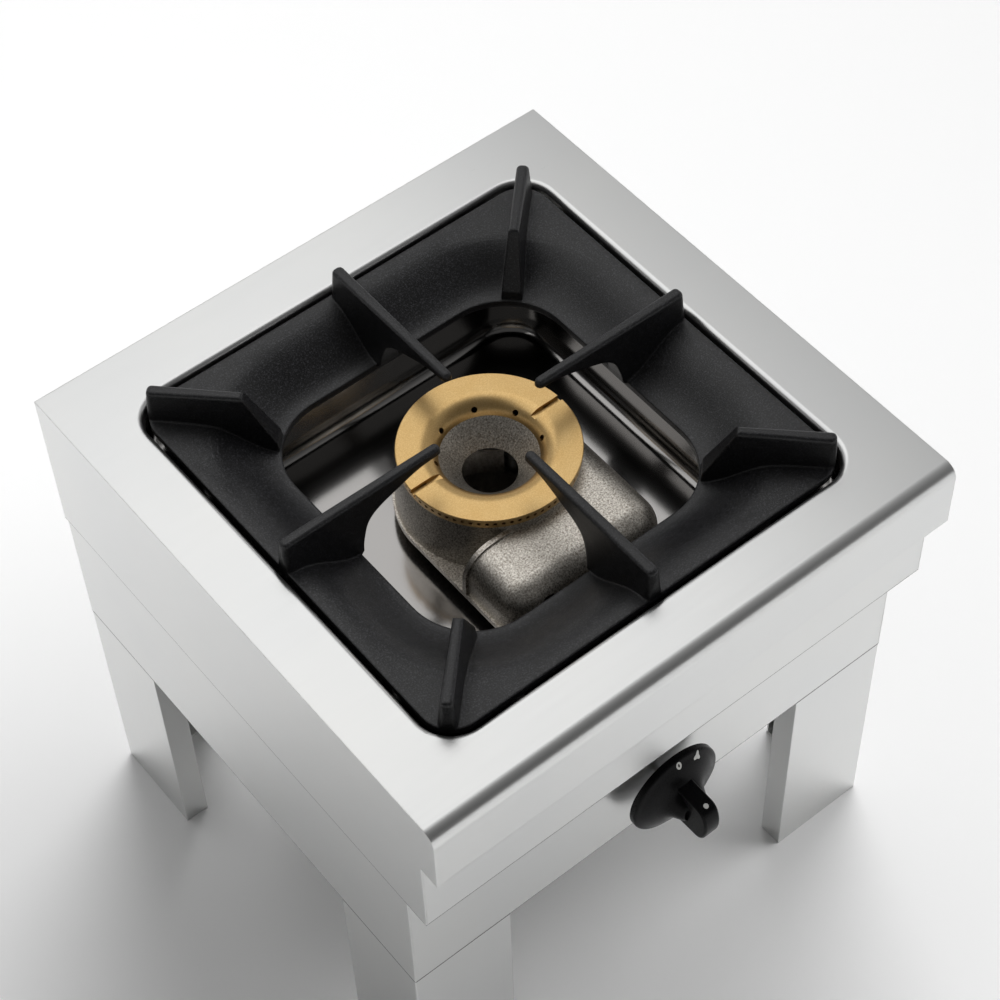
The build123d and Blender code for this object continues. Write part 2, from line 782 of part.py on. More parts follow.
with BuildPart() as burner_bolt_set:
    for x, y in burner_bolts:
        post(x, y, z_basin - top_t, bolt_r, z_under + bolt_in_boss - z_basin + top_t)
        post(x, y, z_basin - top_t - bolt_head_t, bolt_head_r, bolt_head_t)
save(burner_bolt_set, "burner_bolts")

# ---------------------------------------------------------------- injector
with BuildPart() as injector_holder:
    rod(injector_x, y_holder, z_injector, holder_r, holder_len)
    rod(injector_x, y_wall, z_injector, sleeve_r, sleeve_len)
    post(injector_x, y_riser, z_riser_low, burner_pipe_r + riser_t, riser_len)
    post(injector_x, y_riser, z_riser_low, burner_pipe_r + air_gap, riser_len, mode=Mode.SUBTRACT)
    bore(injector_x, y_holder + wall, z_injector, injector_thread_r, holder_len + sleeve_len)
save(injector_holder, "injector_holder")

y_nozzle = y_wall + sleeve_len
nozzle_end = Plane((injector_x, y_nozzle, z_injector), x_dir=(1, 0, 0), z_dir=(0, 1, 0))
with BuildPart() as injector:
    with BuildSketch(nozzle_end):
        RegularPolygon(injector_r, 6, major_radius=False)
    extrude(amount=injector_hex_t)
    with BuildSketch(nozzle_end.offset(injector_hex_t)):
        Circle(injector_r - sleeve_t / 2)
    extrude(amount=injector_nose_t, taper=injector_nose_angle)
    rod(injector_x, y_nozzle - injector_hex_t, z_injector, injector_thread_r - fit, injector_hex_t)
    bore(injector_x, y_nozzle - through, z_injector, injector_bore_r, 2 * through)
save(injector, "injector")

y_shutter = y_wall + top_t + shutter_out
hub_wall, hub_back = shutter_hub
with BuildPart() as air_shutter:
    rod(injector_x, y_shutter, z_injector, shutter_r, shutter_t)
    rod(injector_x, y_shutter - hub_back, z_injector, sleeve_r + hub_wall, shutter_t)
    bore(injector_x, y_wall, z_injector, sleeve_r + fit, 2 * through)
save(air_shutter, "air_shutter")

# ---------------------------------------------------------------- gas tap
flange_across, tap_flange_t, flange_high = tap_flange
tap_flange_z = (z_knob - flange_high / 2, z_knob + flange_high / 2)
z_port = z_knob + tap_r - branch_sunk + port_len
x_port = -tap_r + branch_sunk - port_len
with BuildPart() as gas_tap:
    rod(0, y_tap, z_knob, tap_r, tap_len)
    box((-flange_across / 2, flange_across / 2), (y_tap, y_tap + tap_flange_t), tap_flange_z)
    post(0, y_tap_mid, z_port - port_len, burner_pipe_r + port_t, port_len)
    post(0, y_tap_mid, z_port - port_len, burner_pipe_r + air_gap, port_len, mode=Mode.SUBTRACT)
    with Locations(Location((x_port + port_len / 2, y_tap_mid, z_knob), (0, 90, 0))):
        Cylinder(supply_pipe_r + port_t, port_len)
        Cylinder(supply_pipe_r + air_gap, port_len, mode=Mode.SUBTRACT)
    bore(0, y_tap - over, z_knob, plug_r + fit, plug_bore_len + over)
    bore(0, y_tap, z_knob, gas_way_r, tap_len + over)
    for x in (-tap_screw_x, tap_screw_x):
        bore(x, y_tap - over, z_knob, screw_r + fit, 2 * tap_flange_t)
save(gas_tap, "gas_tap")

with BuildPart() as tap_bonnet:
    rod(0, y_tap - bonnet_out, z_knob, bonnet_r - bonnet_spigot, bonnet_out)
    rod(0, y_tap, z_knob, plug_r - air_gap, bonnet_spigot)
    bore(0, y_tap - through, z_knob, spindle_r + fit, 2 * through)
save(tap_bonnet, "tap_bonnet")

slot_front, slot_back, slot_low = plug_slot
with BuildPart() as tap_plug:
    rod(0, y_plug, z_knob, plug_r, plug_len)
    bore(0, y_plug - over, z_knob, socket_r, socket_len + over)
    bore(0, y_plug, z_knob, plug_way_r, plug_len + over)
    box((-tap_r, tap_r), (y_tap_mid + slot_front, y_tap_mid + slot_back),
        (z_knob + slot_low, z_knob + tap_r), mode=Mode.SUBTRACT)
save(tap_plug, "tap_plug")

y_spindle_end = y_plug + spindle_in
with BuildPart() as tap_spindle:
    rod(0, y_bore + spindle_end_gap, z_knob, spindle_r, y_spindle_end - y_bore - spindle_end_gap)
    rod(0, y_spindle_end - guide_t, z_knob, socket_r - fit, guide_t)
    box((-knob_gap, knob_gap), (y_bore, y_knob_back - flat_start),
        (z_knob + spindle_r - flat, z_knob + knob_gap), mode=Mode.SUBTRACT)
save(tap_spindle, "tap_spindle")

y_spring = y_spindle_end + push_travel + seam + wire_r
spring_len = y_plug + socket_len - seam - wire_r - y_spring
with BuildPart() as tap_spring:
    coil = Helix(spring_len / spring_turns, spring_len, spring_r, center=(0, y_spring, z_knob),
                 direction=(0, 1, 0))
    with BuildSketch(Plane(coil @ 0, z_dir=coil % 0)):
        Circle(wire_r)
    sweep(path=coil, is_frenet=True)
save(tap_spring, "tap_spring")

bracket_x = (-bracket_w / 2, bracket_w / 2)
with BuildPart() as tap_bracket:
    box(bracket_x, (y_bracket, y_tap), (z_base_top, z_knob + flange_high / 2))
    box(bracket_x, (y_bracket, y_bracket + bracket_foot), (z_base_top, z_base_top + bracket_t))
    bore(0, y_bracket - over, z_knob, bonnet_r, 2 * bracket_t + over)
    for x in (-tap_screw_x, tap_screw_x):
        bore(x, y_bracket - over, z_knob, screw_r + fit, 2 * bracket_t + over)
    for x in (-bracket_screw_x, bracket_screw_x):
        drill(x, y_bracket_screw, z_base_top, screw_r + fit)
save(tap_bracket, "tap_bracket")

with BuildPart() as tap_screws:
    for x in (-tap_screw_x, tap_screw_x):
        rod(x, y_bracket - screw_head_t, z_knob, screw_head_r, screw_head_t)
        rod(x, y_bracket, z_knob, screw_r, tap_screw_len)
    for x in (-bracket_screw_x, bracket_screw_x):
        post(x, y_bracket_screw, z_base_top + bracket_t, screw_head_r, screw_head_t)
        post(x, y_bracket_screw, z_base_top + bracket_t - screw_len, screw_r, screw_len)
save(tap_screws, "tap_screws")

# ---------------------------------------------------------------- flame-failure device
y_magnet_end = y_tap_end + magnet_len
with BuildPart() as magnet_unit:
    rod(0, y_tap_end, z_knob, magnet_r, magnet_len)
    rod(0, y_magnet_end, z_knob, magnet_neck_r, magnet_neck_len)
    bore(0, y_magnet_end, z_knob, lead_r + fit, through)
save(magnet_unit, "magnet_unit")

z_probe_low = z_basin - probe_tail
with BuildPart() as thermocouple:
    post(probe_x, probe_y, z_probe_low, probe_r, height - probe_drop - z_probe_low)
save(thermocouple, "thermocouple")

with BuildPart() as thermocouple_gland:
    nut((probe_x, probe_y, z_basin), (0, 0, 1), probe_r + fit, gland_across, gland_len[0])
    nut((probe_x, probe_y, z_basin - top_t), (0, 0, -1), probe_r + fit, gland_across, gland_len[1])
    post(probe_x, probe_y, z_basin - top_t, probe_r + gland_t, top_t)
    drill(probe_x, probe_y, z_basin, probe_r + fit)
save(thermocouple_gland, "thermocouple_gland")

with BuildPart() as thermocouple_lead:
    with BuildLine() as lead_route:
        FilletPolyline((probe_x, probe_y, z_probe_low - seam), (probe_x, probe_y, z_knob + lead_loop),
                       (0, y_magnet_end + lead_loop, z_knob), (0, y_magnet_end + seam, z_knob),
                       radius=lead_bend)
    with BuildSketch(Plane((probe_x, probe_y, z_probe_low - seam), z_dir=(0, 0, -1))):
        Circle(lead_r)
    sweep(path=lead_route.line)
save(thermocouple_lead, "thermocouple_lead")

# ---------------------------------------------------------------- pipes and inlet
small_across, small_len = small_nut
large_across, large_len = large_nut
inlet_across, inlet_hex_t = inlet_hex
tail_len = large_len + inlet_hex_t
with BuildPart() as pipe_nuts:
    nut((0, y_tap_mid, z_port), (0, 0, 1), burner_pipe_r + fit, small_across, small_len)
    nut((x_port, y_tap_mid, z_knob), (-1, 0, 0), supply_pipe_r + fit, large_across, large_len)
    nut((injector_x, y_riser, z_riser_low), (0, 0, -1), burner_pipe_r + fit, small_across, small_len)
    nut((inlet_x, y_back_in - tail_len, z_knob), (0, -1, 0), supply_pipe_r + fit, large_across, large_len)
save(pipe_nuts, "pipe_nuts")

z_turn = (z_knob + z_riser_low) / 2
burner_route = [(0, y_tap_mid, z_knob + tap_r + pipe_end_gap), (0, y_tap_mid, z_turn),
                (injector_x, y_riser, z_turn), (injector_x, y_riser, z_injector - holder_r + branch_sunk)]
save(tube(burner_route, burner_pipe_r, burner_pipe_bend), "burner_pipe")
supply_route = [(-tap_r - pipe_end_gap, y_tap_mid, z_knob), (inlet_x, y_tap_mid, z_knob),
                (inlet_x, y_back_in - inlet_pipe_gap, z_knob)]
save(tube(supply_route, supply_pipe_r, supply_pipe_bend), "supply_pipe")

neck_r = inlet_r - inlet_relief
neck_len = panel_t + locknut_t + inlet_spare
with BuildPart() as inlet_fitting:
    nut((inlet_x, y_back_in, z_knob), (0, -1, 0), inlet_bore_r, inlet_across, inlet_hex_t)
    rod(inlet_x, y_back_in - tail_len, z_knob, supply_pipe_r + port_t, large_len)
    rod(inlet_x, y_back_in, z_knob, neck_r, neck_len)
    rod(inlet_x, y_back_in + neck_len, z_knob, inlet_r, inlet_len)
    bore(inlet_x, y_back_in - tail_len - over, z_knob, supply_pipe_r + air_gap, through)
    bore(inlet_x, y_back_in - through, z_knob, inlet_bore_r, neck_len + inlet_len + 2 * through)
save(inlet_fitting, "inlet_fitting")

with BuildPart() as inlet_locknut:
    nut((inlet_x, y_back, z_knob), (0, 1, 0), neck_r + fit, locknut_across, locknut_t)
save(inlet_locknut, "inlet_locknut")

# ---------------------------------------------------------------- knob
rim_face = knob_r - skirt_round
with BuildPart() as knob_skirt:
    with BuildSketch(Plane((0, y_body, z_knob), x_dir=(1, 0, 0), z_dir=(0, 0, 1))):
        with BuildLine():
            Polyline((0, -flare_top), (0, -knob_gap), (hub_r, -knob_gap), (hub_r, -skirt_out),
                     (rim_face - skirt_wall, -skirt_out + skirt_fall),
                     (knob_r - skirt_wall / 2, -skirt_back),
                     (knob_r, -skirt_back), (knob_r, -skirt_out + skirt_round))
            Spline((knob_r, -skirt_out + skirt_round), (rim_face, -skirt_out),
                   *[(r, -out) for r, out in flare], (0, -flare_top), tangents=((0, -1), (-0.3, -1)))
        make_face()
    revolve(axis=Axis((0, 0, z_knob), (0, 1, 0)))


def blade_point(out, up):
    """A point of the blade's side view."""
    return y_body - out, z_knob + up


with BuildPart() as knob_blade:
    with BuildSketch(Plane.YZ):
        with BuildLine():
            root_ends = []
            crest_ends = []
            for way in (1, -1):
                root, shoulder, corner, crest = [
                    blade_point(out, way * up)
                    for out, up in ((skirt_out, blade_half), blade_shoulder, blade_corner, blade_edge)
                ]
                Line(root, shoulder)
                ThreePointArc(shoulder, corner, crest)
                root_ends.append(root)
                crest_ends.append(crest)
            ThreePointArc(crest_ends[0], blade_point(blade_out, 0), crest_ends[1])
            Line(*root_ends)
        make_face()
    extrude(amount=blade_t / 2, both=True)
    flanks = knob_blade.faces().filter_by(Axis.X)
    fillet(flanks.edges().filter_by(lambda e: e.center().Y < y_body - skirt_out - over), blade_round)

with BuildPart() as knob:
    add(knob_skirt.part)
    add(knob_blade.part)
    bore(0, y_bore, z_knob, spindle_r + fit, knob_bore + over)
save(knob, "knob")

clip_near, clip_far = clip_in
with BuildPart() as knob_clip:
    z_clip = z_knob + spindle_r - flat + fit
    box((-clip_w / 2, clip_w / 2), (y_knob_back - clip_far, y_knob_back - clip_near),
        (z_clip, z_clip + clip_t))
save(knob_clip, "knob_clip")
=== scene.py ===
"""The looks of a stock pot range: satin stainless sheet, enamelled cast grate, brass burner and black knob.

Lengths are in metres in the range's own frame: +X along its front, -Y towards the user, +Z up from the floor.
"""

import math
import bpy
import numpy as np
from mathutils import Matrix, Vector


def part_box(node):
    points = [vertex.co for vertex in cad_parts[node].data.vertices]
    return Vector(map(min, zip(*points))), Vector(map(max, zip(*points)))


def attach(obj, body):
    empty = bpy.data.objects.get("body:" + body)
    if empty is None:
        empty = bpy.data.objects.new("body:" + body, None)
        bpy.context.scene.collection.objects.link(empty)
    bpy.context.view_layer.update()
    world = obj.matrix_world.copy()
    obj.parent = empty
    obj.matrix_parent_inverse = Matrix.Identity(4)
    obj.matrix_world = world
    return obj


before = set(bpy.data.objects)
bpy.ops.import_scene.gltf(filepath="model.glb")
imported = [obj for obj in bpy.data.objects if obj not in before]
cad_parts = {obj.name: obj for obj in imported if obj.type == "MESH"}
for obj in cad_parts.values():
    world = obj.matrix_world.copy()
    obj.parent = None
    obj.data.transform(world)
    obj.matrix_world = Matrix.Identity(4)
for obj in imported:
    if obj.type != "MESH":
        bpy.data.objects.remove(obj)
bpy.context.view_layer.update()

bl_info = {
    "name": "Stock Pot Range",
    "version": (1, 0, 0),
    "blender": (4, 5, 0),
    "location": "3D View > Sidebar > Range",
    "description": "Finishes of a low gas range for stock pots, with its knob, its lights and its camera",
    "category": "Object",
}

MM = 0.001

# The CAD nodes that share a finish
SHEETS_ALONG_X = ("upper_front_panel", "knob_panel", "rear_panel", "base_panel")
SHEETS_ALONG_Y = ("left_side_panel", "right_side_panel")
LEGS = ("front_left_leg", "front_right_leg", "rear_left_leg", "rear_right_leg")
BRASS_FITTINGS = (
    "gas_tap", "tap_bonnet", "tap_plug", "injector_holder", "injector",
    "inlet_fitting", "inlet_locknut", "pipe_nuts", "thermocouple_gland",
)
COPPER_TUBES = ("supply_pipe", "burner_pipe", "thermocouple_lead")
ZINC_FIXINGS = ("leg_bolts", "leg_nuts", "rear_screws", "burner_bolts", "tap_screws")
GALVANISED = ("tap_bracket", "burner_spacers", "air_shutter")
GROUND_STEEL = ("tap_spindle", "tap_spring", "knob_clip", "thermocouple", "magnet_unit")

# The gas train's finishes: name, two colours, lowest and highest roughness, size of a patch, CAD nodes
TRAIN_FINISHES = (
    ("machined brass fittings", "#C6A468", "#B08C50", 0.25, 0.4, 6 * MM, BRASS_FITTINGS),
    ("drawn copper tube", "#C08466", "#A86C50", 0.22, 0.4, 12 * MM, COPPER_TUBES),
    ("zinc-plated steel", "#B9BCBD", "#A4A7A6", 0.25, 0.42, 5 * MM, ZINC_FIXINGS),
    ("galvanised sheet", "#A9ADAF", "#969A9C", 0.35, 0.5, 8 * MM, GALVANISED),
    ("ground steel", "#BDBFC0", "#A9ABAC", 0.18, 0.3, 4 * MM, GROUND_STEEL),
)

# The second colours of the finishes whose first colour is a setting, sRGB hex
CLOUDED_STEEL = "#DBDCDC"
# Painted shade: the grey that darkens the worktop's well
WELL_SHADE_STEEL = "#9E9C9A"
SEAM_SHADE = "#5C5C5C"
ENAMEL_SPECKS = "#343437"
STAINED_BRASS = "#D8B274"
BRASS_GRAINS = "#B98D4C"
CASTING_PITS = "#867D72"
THIN_INK = "#B4B4B0"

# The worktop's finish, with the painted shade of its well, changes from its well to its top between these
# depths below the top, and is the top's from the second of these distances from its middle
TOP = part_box("worktop")[1][2]
WELL_DEPTHS = (24 * MM, 6 * MM)
WELL_EDGES = (164 * MM, 168 * MM)

# One sheet ends over the next at these levels: the aprons over the body, and the body over the legs
SEAM_LEVELS = (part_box("upper_front_panel")[0][2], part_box("left_side_panel")[0][2])
SEAM_HALF = 0.6 * MM


# ---------------------------------------------------------------- settings
class RangeFinish(bpy.types.PropertyGroup):
    """Colours that a user would change."""

    steel: bpy.props.StringProperty(
        name="Steel", description="Satin stainless sheet, sRGB hex", default="#E1E1DF",
    )
    enamel: bpy.props.StringProperty(
        name="Enamel", description="Grate enamel, sRGB hex", default="#0B0B0C",
    )
    brass: bpy.props.StringProperty(
        name="Brass", description="Machined burner brass, sRGB hex", default="#E8CB94",
    )
    casting: bpy.props.StringProperty(
        name="Casting", description="Bare cast burner, sRGB hex", default="#E9E4DB",
    )
    plastic: bpy.props.StringProperty(
        name="Plastic", description="Knob plastic, sRGB hex", default="#0B0B0C",
    )
    ink: bpy.props.StringProperty(
        name="Print", description="Marks on the knob, sRGB hex", default="#DADAD6",
    )


class RangeStudio(bpy.types.PropertyGroup):
    """Lights and floor."""

    floor: bpy.props.StringProperty(
        name="Floor", description="Floor colour, sRGB hex", default="#FFFFFF",
    )
    room: bpy.props.FloatProperty(
        name="Room", description="Brightness of the room's bright side", default=0.42, min=0.0,
    )
    gloom: bpy.props.FloatProperty(
        name="Gloom", description="Brightness of the room's dim side", default=0.1, min=0.0,
    )
    softbox: bpy.props.FloatProperty(
        name="Softbox", description="Power of the lamp overhead", default=6.8, min=0.0, unit="POWER",
    )
    window: bpy.props.FloatProperty(
        name="Window",
        description="Strength of the window behind; the one at the side has four fifths of it",
        default=1.4,
        min=0.0,
    )


# ---------------------------------------------------------------- helpers
def linear(hex_colour):
    """The linear RGBA of an sRGB hex colour."""
    parts = [int(hex_colour[i : i + 2], 16) / 255 for i in (1, 3, 5)]
    return [p / 12.92 if p <= 0.04045 else ((p + 0.055) / 1.055) ** 2.4 for p in parts] + [1.0]


def add(tree, kind, inputs=None, **settings):
    """Adds one node with its settings; an input is a value, a socket, or a node with its first output."""
    node = tree.nodes.new(kind)
    for name, value in settings.items():
        setattr(node, name, value)
    for name, value in (inputs or {}).items():
        if isinstance(value, bpy.types.Node):
            value = value.outputs[0]
        if isinstance(value, bpy.types.NodeSocket):
            tree.links.new(value, node.inputs[name])
        else:
            node.inputs[name].default_value = value
    return node


def empty_tree(owner):
    """The node tree of a material or a world, emptied."""
    owner.use_nodes = True
    owner.node_tree.nodes.clear()
    return owner.node_tree


def new_material(name):
    """A material, its tree, and the place of a point on the object, which is the only node in it."""
    material = bpy.data.materials.new(name)
    tree = empty_tree(material)
    place = add(tree, "ShaderNodeTexCoord").outputs["Object"]
    return material, tree, place


def dress(material, *names):
    """Gives CAD nodes this material on every slot."""
    for name in names:
        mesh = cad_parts[name].data
        mesh.materials.clear()
        mesh.materials.append(material)


def new_object(name, data):
    """An object with this data, linked to the scene."""
    piece = bpy.data.objects.new(name, data)
    bpy.context.scene.collection.objects.link(piece)
    return piece


def new_mesh(name, points, faces, material):
    """A mesh object in one material, from an array of points and a list of faces."""
    mesh = bpy.data.meshes.new(name)
    mesh.from_pydata(points, [], faces)
    mesh.materials.append(material)
    return new_object(name, mesh)


# ---------------------------------------------------------------- materials
def satin_and_well_shade_mask(tree, place):
    """0 in the worktop's well, and 1 on its top, its lip and its aprons; it sets the well's polish and its
    painted shade.
    """
    away = add(tree, "ShaderNodeVectorMath", {0: place}, operation="ABSOLUTE")
    axes = add(tree, "ShaderNodeSeparateXYZ", {"Vector": away}).outputs
    half = add(tree, "ShaderNodeMath", {0: axes["X"], 1: axes["Y"]}, operation="MAXIMUM")
    outside = add(tree, "ShaderNodeMapRange", {
        "Value": half, "From Min": WELL_EDGES[0], "From Max": WELL_EDGES[1],
    })
    high = add(tree, "ShaderNodeMapRange", {
        "Value": axes["Z"], "From Min": TOP - WELL_DEPTHS[0], "From Max": TOP - WELL_DEPTHS[1],
    })
    return add(tree, "ShaderNodeMath", {0: high, 1: outside}, operation="MAXIMUM")


def seam_mask(tree, place):
    """1 within half a seam of the levels where one sheet ends over the next, and 0 elsewhere."""
    level = add(tree, "ShaderNodeSeparateXYZ", {"Vector": place}).outputs["Z"]
    upper, lower = [
        add(tree, "ShaderNodeMath", {0: level, 1: seam, 2: SEAM_HALF}, operation="COMPARE")
        for seam in SEAM_LEVELS
    ]
    return add(tree, "ShaderNodeMath", {0: upper, 1: lower}, operation="MAXIMUM")


def satin_stainless(name, grain, basin=False):
    """304 stainless sheet with a fine satin brush: a soft wide highlight, barely visible grain, eased edges.

    The grain is about 0.3 mm apart across the brushing and some 60 mm long, drawn twice as coarse so that it
    shows. A basin is left bright from the press below the sheet's rim, and its colour is darkened there to a
    grey as painted shade in the well. The shade in the gap between two sheets is drawn 1.2 mm wide, so that
    the 0.1 mm gap shows.
    """
    finish = bpy.context.scene.range_finish
    material, tree, place = new_material(name)
    across = 1 / (0.6 * MM)
    along = 1 / (60 * MM)
    scale = [along if axis == grain else across for axis in "XYZ"]
    stretched = add(tree, "ShaderNodeMapping", {"Vector": place, "Scale": scale})
    lines = add(tree, "ShaderNodeTexNoise", {
        "Vector": stretched, "Scale": 1.0, "Detail": 3.0, "Roughness": 0.6,
    })
    clouds = add(tree, "ShaderNodeTexNoise", {"Vector": place, "Scale": 1 / (90 * MM), "Detail": 2.0})
    rough = add(tree, "ShaderNodeMapRange", {"Value": lines, "To Min": 0.25, "To Max": 0.36})
    tint = add(tree, "ShaderNodeMixRGB", {0: clouds, 1: linear(finish.steel), 2: linear(CLOUDED_STEEL)})
    if basin:
        satin = satin_and_well_shade_mask(tree, place)
        bright = add(tree, "ShaderNodeMapRange", {"Value": clouds, "To Min": 0.12, "To Max": 0.17})
        rough = add(tree, "ShaderNodeMix", {0: satin, 2: bright, 3: rough})
        # Painted shade: in the well the colour is darkened to a grey, where the top keeps the satin tint
        tint = add(tree, "ShaderNodeMixRGB", {0: satin, 1: linear(WELL_SHADE_STEEL), 2: tint})
    seams = seam_mask(tree, place)
    shaded = add(tree, "ShaderNodeMixRGB", {0: seams, 1: tint, 2: linear(SEAM_SHADE)})
    eased = add(tree, "ShaderNodeBevel", {"Radius": 1.0 * MM}, samples=4)
    bump = add(tree, "ShaderNodeBump", {
        "Height": lines, "Strength": 0.05, "Distance": 0.05 * MM, "Normal": eased,
    })
    shader = add(tree, "ShaderNodeBsdfPrincipled", {
        "Base Color": shaded, "Metallic": 1.0, "Roughness": rough, "Normal": bump,
    })
    add(tree, "ShaderNodeOutputMaterial", {"Surface": shader})
    return material


def cast_enamel():
    """Black vitreous enamel on cast iron: near black, a fine sandy skin with tiny bright specks, soft gloss.

    The enamel runs over edges, so they look rounded over about 2 mm.
    """
    finish = bpy.context.scene.range_finish
    material, tree, place = new_material("vitreous enamel on cast iron")
    sand = add(tree, "ShaderNodeTexNoise", {
        "Vector": place, "Scale": 1 / (1.0 * MM), "Detail": 3.0, "Roughness": 0.7,
    })
    lumps = add(tree, "ShaderNodeTexNoise", {"Vector": place, "Scale": 1 / (9 * MM), "Detail": 2.0})
    specks = add(tree, "ShaderNodeMapRange", {"Value": sand, "From Min": 0.5, "From Max": 0.7})
    colour = add(tree, "ShaderNodeMixRGB", {0: specks, 1: linear(finish.enamel), 2: linear(ENAMEL_SPECKS)})
    rough = add(tree, "ShaderNodeMapRange", {"Value": lumps, "To Min": 0.3, "To Max": 0.4})
    flowed = add(tree, "ShaderNodeBevel", {"Radius": 2.0 * MM}, samples=6)
    coarse = add(tree, "ShaderNodeBump", {
        "Height": lumps, "Strength": 0.2, "Distance": 0.6 * MM, "Normal": flowed,
    })
    bump = add(tree, "ShaderNodeBump", {
        "Height": sand, "Strength": 0.8, "Distance": 0.2 * MM, "Normal": coarse,
    })
    shader = add(tree, "ShaderNodeBsdfPrincipled", {
        "Base Color": colour, "Roughness": rough, "Normal": bump, "IOR": 1.5,
    })
    add(tree, "ShaderNodeOutputMaterial", {"Surface": shader})
    return material


def turned_brass():
    """Machined burner brass with a matt skin: golden, a fine even grain, faint tool rings, dulled by heat.

    The tool rings and the grain are about 0.8 mm wide, and the heat's patches about 14 mm.
    """
    finish = bpy.context.scene.range_finish
    material, tree, place = new_material("turned brass crown")
    flat = add(tree, "ShaderNodeVectorMath", {0: place, 1: (1, 1, 0)}, operation="MULTIPLY")
    radius = add(tree, "ShaderNodeVectorMath", {0: flat}, operation="LENGTH").outputs["Value"]
    rings = add(tree, "ShaderNodeTexNoise", {
        "W": radius, "Scale": 1 / (0.8 * MM), "Detail": 3.0,
    }, noise_dimensions="1D")
    grit = add(tree, "ShaderNodeTexNoise", {
        "Vector": place, "Scale": 1 / (0.8 * MM), "Detail": 3.0, "Roughness": 0.7,
    })
    stains = add(tree, "ShaderNodeTexNoise", {
        "Vector": place, "Scale": 1 / (14 * MM), "Detail": 8.0, "Roughness": 0.75,
    })
    stained = add(tree, "ShaderNodeMixRGB", {0: stains, 1: linear(finish.brass), 2: linear(STAINED_BRASS)})
    grains = add(tree, "ShaderNodeMapRange", {
        "Value": grit, "From Min": 0.35, "From Max": 0.6, "To Max": 0.45,
    })
    colour = add(tree, "ShaderNodeMixRGB", {0: grains, 1: stained, 2: linear(BRASS_GRAINS)})
    rough = add(tree, "ShaderNodeMapRange", {"Value": grit, "To Min": 0.26, "To Max": 0.44})
    turned = add(tree, "ShaderNodeBump", {"Height": rings, "Strength": 0.1, "Distance": 0.05 * MM})
    bump = add(tree, "ShaderNodeBump", {
        "Height": grit, "Strength": 0.35, "Distance": 0.1 * MM, "Normal": turned,
    })
    shader = add(tree, "ShaderNodeBsdfPrincipled", {
        "Base Color": colour, "Metallic": 1.0, "Roughness": rough, "Normal": bump,
    })
    add(tree, "ShaderNodeOutputMaterial", {"Surface": shader})
    return material


def sand_casting():
    """Bare sand casting, shot-blasted: silvery with a warm cast, pitted like coarse sand.

    Its grains, about 1.1 mm wide, are bright in the light.
    """
    finish = bpy.context.scene.range_finish
    material, tree, place = new_material("sand-cast burner alloy")
    sand = add(tree, "ShaderNodeTexNoise", {
        "Vector": place, "Scale": 1 / (1.1 * MM), "Detail": 4.0, "Roughness": 0.7,
    })
    grains = add(tree, "ShaderNodeMapRange", {"Value": sand, "From Min": 0.36, "From Max": 0.64})
    colour = add(tree, "ShaderNodeMixRGB", {0: grains, 1: linear(CASTING_PITS), 2: linear(finish.casting)})
    rough = add(tree, "ShaderNodeMapRange", {"Value": sand, "To Min": 0.24, "To Max": 0.38})
    bump = add(tree, "ShaderNodeBump", {"Height": sand, "Strength": 0.6, "Distance": 0.3 * MM})
    shader = add(tree, "ShaderNodeBsdfPrincipled", {
        "Base Color": colour, "Metallic": 0.94, "Roughness": rough, "Normal": bump,
    })
    add(tree, "ShaderNodeOutputMaterial", {"Surface": shader})
    return material


def plain_metal(name, first, second, rough_low, rough_high, patch):
    """A metal whose colour and gloss drift between two values over patches of this size."""
    material, tree, place = new_material(name)
    patches = add(tree, "ShaderNodeTexNoise", {"Vector": place, "Scale": 1 / patch, "Detail": 4.0})
    colour = add(tree, "ShaderNodeMixRGB", {0: patches, 1: linear(first), 2: linear(second)})
    rough = add(tree, "ShaderNodeMapRange", {"Value": patches, "To Min": rough_low, "To Max": rough_high})
    bump = add(tree, "ShaderNodeBump", {"Height": patches, "Strength": 0.15, "Distance": 0.1 * MM})
    shader = add(tree, "ShaderNodeBsdfPrincipled", {
        "Base Color": colour, "Metallic": 1.0, "Roughness": rough, "Normal": bump,
    })
    add(tree, "ShaderNodeOutputMaterial", {"Surface": shader})
    return material


def moulded_plastic():
    """Black phenolic moulding, satin from its mould: deep black, even soft sheen."""
    finish = bpy.context.scene.range_finish
    material, tree, place = new_material("moulded phenolic")
    grain = add(tree, "ShaderNodeTexNoise", {"Vector": place, "Scale": 1 / (0.6 * MM), "Detail": 2.0})
    rough = add(tree, "ShaderNodeMapRange", {"Value": grain, "To Min": 0.24, "To Max": 0.32})
    bump = add(tree, "ShaderNodeBump", {"Height": grain, "Strength": 0.12, "Distance": 0.05 * MM})
    shader = add(tree, "ShaderNodeBsdfPrincipled", {
        "Base Color": linear(finish.plastic), "Roughness": rough, "Normal": bump, "IOR": 1.5,
        "Specular IOR Level": 0.08,
    })
    add(tree, "ShaderNodeOutputMaterial", {"Surface": shader})
    return material


def pad_print():
    """Pale ink pressed onto the plastic: matt, a little uneven where it thins."""
    finish = bpy.context.scene.range_finish
    material, tree, place = new_material("pad-printed ink")
    thin = add(tree, "ShaderNodeTexNoise", {"Vector": place, "Scale": 1 / (0.5 * MM), "Detail": 2.0})
    colour = add(tree, "ShaderNodeMixRGB", {0: thin, 1: linear(finish.ink), 2: linear(THIN_INK)})
    shader = add(tree, "ShaderNodeBsdfPrincipled", {"Base Color": colour, "Roughness": 0.6})
    add(tree, "ShaderNodeOutputMaterial", {"Surface": shader})
    return material


